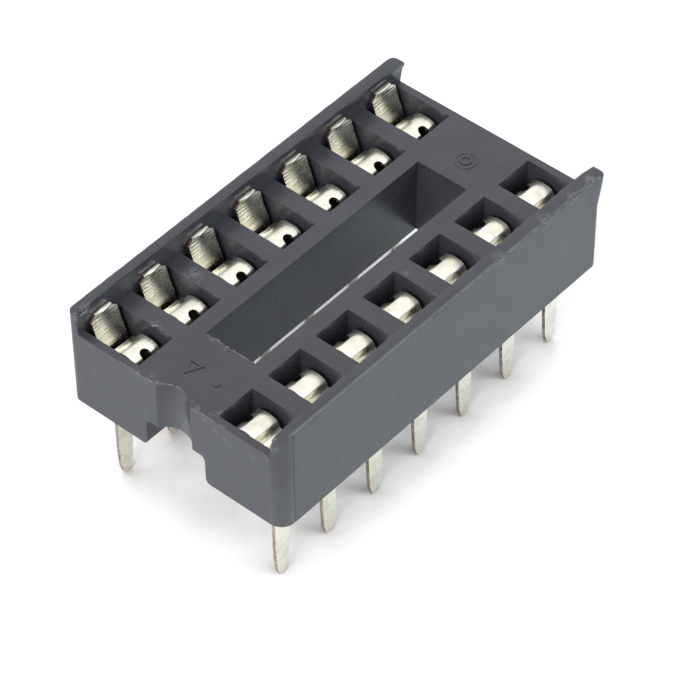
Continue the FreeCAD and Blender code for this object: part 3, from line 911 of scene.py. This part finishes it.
# Torn flash: the points it follows, the way it grows, and its height
FLASH = (
    (
        ((-WINDOW_HALF_LENGTH, 1.15, FLASH_FOOT), (-WINDOW_HALF_LENGTH, -1.15, FLASH_FOOT)),
        (0.6, 0.0, 0.8), 0.07,
    ),
    (notch_rim(-5, 54), (-0.4, 0.0, 0.9), 0.06),
    (((FLASH_END, 2.5, FLASH_FOOT), (FLASH_END, 0.95, FLASH_FOOT)), (-0.2, 0.0, 1.0), 0.07),
    (((FLASH_END, -0.95, FLASH_FOOT), (FLASH_END, -2.6, FLASH_FOOT)), (-0.2, 0.0, 1.0), 0.05),
    (
        ((-8.62, -1.72, FLASH_FOOT), (-8.42, -1.84, FLASH_FOOT), (-8.22, -1.86, FLASH_FOOT)),
        (0.1, 0.3, 0.9), 0.13,
    ),
    (((-8.76, 4.44, 8.46), (-8.2, 4.5, 8.46)), (0.0, -1.0, -0.1), 0.11),
    (
        ((-6.82, 2.88, FLASH_FOOT), (-6.68, 2.72, FLASH_FOOT), (-6.6, 2.52, FLASH_FOOT)),
        (0.2, 0.1, 0.9), 0.08,
    ),
    (((-1.5, -5.03, 8.42), (3.4, -5.03, 8.42), (8.3, -5.05, 8.42)), (0.0, -0.5, 0.8), 0.05),
)


class SOCKET_OT_flash(bpy.types.Operator):
    """Grows the thin torn flash left along some edges of the moulding"""

    bl_idname = "socket.flash"
    bl_label = "Torn flash"

    def execute(self, context):
        bm = bmesh.new()
        for points, growth, height in FLASH:
            fin = self.fin(points, Vector(growth).normalized() * height)
            bm.from_mesh(fin)
            bpy.data.meshes.remove(fin)
        bmesh.ops.recalc_face_normals(bm, faces=bm.faces[:])
        bmesh.ops.scale(bm, vec=(MM,) * 3, verts=bm.verts)
        material = finished_material(torn_thermoplastic)
        piece = new_piece("mould_flash", bm, [material], "moulding")
        wall = piece.modifiers.new("thickness", "SOLIDIFY")
        wall.thickness = FLASH_THICKNESS * MM
        wall.offset = 0.0
        return {"FINISHED"}

    def fin(self, points, growth):
        """One fin: a line through the points, drawn out to a ragged height."""
        bm = bmesh.new()
        verts = [bm.verts.new(point) for point in points]
        line = [bm.edges.new(pair) for pair in zip(verts, verts[1:])]
        length = sum(edge.calc_length() for edge in line)
        bmesh.ops.subdivide_edges(bm, edges=line, cuts=max(2, round(length / len(line) / FLASH_STEP)))
        drawn = bmesh.ops.extrude_edge_only(bm, edges=bm.edges[:])["geom"]
        for vert in drawn:
            if isinstance(vert, bmesh.types.BMVert):
                torn = noise.noise(vert.co * TEAR_COARSE) + TEAR_FINE_SHARE * noise.noise(vert.co * TEAR_FINE)
                vert.co += growth * max(FLASH_LEAST, FLASH_MEAN + torn)
        mesh = bpy.data.meshes.new("fin")
        bm.to_mesh(mesh)
        bm.free()
        return mesh


class SOCKET_OT_contacts(bpy.types.Operator):
    """Stamps and bends the fourteen contacts and stands each in its chamber"""

    bl_idname = "socket.contacts"
    bl_label = "Contacts"

    def execute(self, context):
        sizes = context.scene.socket_sizes
        base, sheet = sizes.floor_height / MM, sizes.sheet / MM
        materials = [finished_material(bright_tin_plate), finished_material(cut_phosphor_bronze)]
        blanks = [thick_sheet(outer_blank(base), sheet), thick_sheet(inner_blank(base, sheet), sheet)]
        for number in range(1, CONTACTS + 1):
            in_front = number <= PINS_PER_ROW
            column = number - 1 if in_front else CONTACTS - number
            x = (column - (PINS_PER_ROW - 1) / 2) * sizes.pin_pitch
            side = -1 if in_front else 1
            bm = bmesh.new()
            bm.from_mesh(blanks[0])
            coin_tip(bm)
            bm.from_mesh(blanks[1])
            bmesh.ops.scale(bm, vec=(MM,) * 3, verts=bm.verts)
            if in_front:
                bmesh.ops.rotate(bm, matrix=Matrix.Rotation(math.pi, 3, "Z"), verts=bm.verts)
            bmesh.ops.translate(bm, vec=(x, side * sizes.row_span / 2, 0.0), verts=bm.verts)
            node = f"contact_{number:02d}"
            piece = new_piece(f"strip_{node}", bm, materials, "tinned_strip", node)
            round_edges(piece, sizes.cut_edge)
        for mesh in blanks:
            bpy.data.meshes.remove(mesh)
        return {"FINISHED"}


# Soft lamps: name, place and width in metres, power in watts and colour
LAMPS = (
    ("left_softbox", (-0.38, -0.06, 0.27), 0.24, 1.25, "#fcfaf8"),
    ("overhead_softbox", (0.04, -0.1, 0.44), 0.24, 0.1, "#f4f7ff"),
    ("front_softbox", (0.2, -0.34, 0.2), 0.2, 0.4, "#ddf0fb"),
)
LAMP_AIM = (0.0, 0.0, 0.006)
PAPER_HALF = 1.5
# Strength of the surroundings as a light, and as the camera and mirrors see them
SKY_LIGHT = 0.47
SKY_SEEN = 1.22
# The photograph's own view, found by least squares on the socket's corners: right, up and back, and its place
CAMERA_AXES = ((0.65385, -0.75656, -0.00943), (0.54655, 0.46365, 0.69736), (-0.52322, -0.46113, 0.71666))
CAMERA_PLACE = (-72.632, -64.504, 102.674)


class SOCKET_OT_stage(bpy.types.Operator):
    """Sets the paper, the soft lamps, the surroundings and the camera"""

    bl_idname = "socket.stage"
    bl_label = "Stage"

    def execute(self, context):
        scene = context.scene
        scene.view_settings.view_transform = "Standard"
        self.paper(scene)
        for lamp in LAMPS:
            self.light(scene, *lamp)
        self.surroundings(scene)
        self.camera(scene)
        return {"FINISHED"}

    def paper(self, scene):
        """One flat sheet, large enough to reach out of the picture."""
        bm = bmesh.new()
        bmesh.ops.create_grid(bm, x_segments=1, y_segments=1, size=PAPER_HALF)
        mesh = bpy.data.meshes.new("paper")
        bm.to_mesh(mesh)
        bm.free()
        mesh.materials.append(finished_material(white_paper))
        paper = bpy.data.objects.new("paper", mesh)
        scene.collection.objects.link(paper)

    def light(self, scene, name, place, size, power, colour):
        """A square soft lamp that looks at the socket."""
        data = bpy.data.lights.new(name, "AREA")
        data.shape = "SQUARE"
        data.size = size
        data.energy = power
        data.color = linear(colour)[:3]
        lamp = bpy.data.objects.new(name, data)
        lamp.location = place
        aim = Vector(LAMP_AIM) - Vector(place)
        lamp.rotation_euler = aim.to_track_quat("-Z", "Y").to_euler()
        scene.collection.objects.link(lamp)

    def surroundings(self, scene):
        """A white tent, brighter to the camera and in mirrors than as a light."""
        world = bpy.data.worlds.new("white_tent")
        scene.world = world
        world.use_nodes = True
        tree = world.node_tree
        tree.nodes.clear()
        path = add_node(tree, "ShaderNodeLightPath")
        seen = add_node(
            tree, "ShaderNodeMath",
            {0: path.outputs["Is Camera Ray"], 1: path.outputs["Is Glossy Ray"]}, operation="MAXIMUM",
        )
        strength = add_node(
            tree, "ShaderNodeMapRange", {"Value": seen.outputs[0], "To Min": SKY_LIGHT, "To Max": SKY_SEEN},
        )
        sky = add_node(
            tree, "ShaderNodeBackground",
            {"Color": list(scene.socket_colours.sky), "Strength": strength.outputs[0]},
        )
        add_node(tree, "ShaderNodeOutputWorld", {"Surface": sky.outputs[0]})

    def camera(self, scene):
        """The camera of the photograph's view."""
        data = bpy.data.cameras.new("camera")
        data.sensor_width = 36.0
        data.lens = 194.4
        data.clip_start = 0.01
        data.clip_end = 10.0
        camera = bpy.data.objects.new("camera", data)
        turn = Matrix(CAMERA_AXES).transposed()
        camera.matrix_world = Matrix.Translation(Vector(CAMERA_PLACE) * MM) @ turn.to_4x4()
        scene.collection.objects.link(camera)
        scene.camera = camera


class SOCKET_PT_panel(bpy.types.Panel):
    """Lists the steps that build the socket"""

    bl_label = "Socket"
    bl_idname = "SOCKET_PT_panel"
    bl_space_type = "VIEW_3D"
    bl_region_type = "UI"
    bl_category = "Socket"

    def draw(self, context):
        for step in STEPS:
            self.layout.operator(step.bl_idname)
        for group in (context.scene.socket_sizes, context.scene.socket_colours):
            for name in group.__annotations__:
                self.layout.prop(group, name)


STEPS = (SOCKET_OT_stage, SOCKET_OT_body, SOCKET_OT_marks, SOCKET_OT_flash, SOCKET_OT_contacts)
CLASSES = (SocketSizes, SocketColours) + STEPS + (SOCKET_PT_panel,)


def register():
    for kind in CLASSES:
        bpy.utils.register_class(kind)
    bpy.types.Scene.socket_sizes = bpy.props.PointerProperty(type=SocketSizes)
    bpy.types.Scene.socket_colours = bpy.props.PointerProperty(type=SocketColours)


def unregister():
    del bpy.types.Scene.socket_colours
    del bpy.types.Scene.socket_sizes
    for kind in reversed(CLASSES):
        bpy.utils.unregister_class(kind)


def main():
    register()
    bpy.ops.socket.stage()
    bpy.ops.socket.body()
    bpy.ops.socket.marks()
    bpy.ops.socket.flash()
    bpy.ops.socket.contacts()


if __name__ == "__main__":
    main()
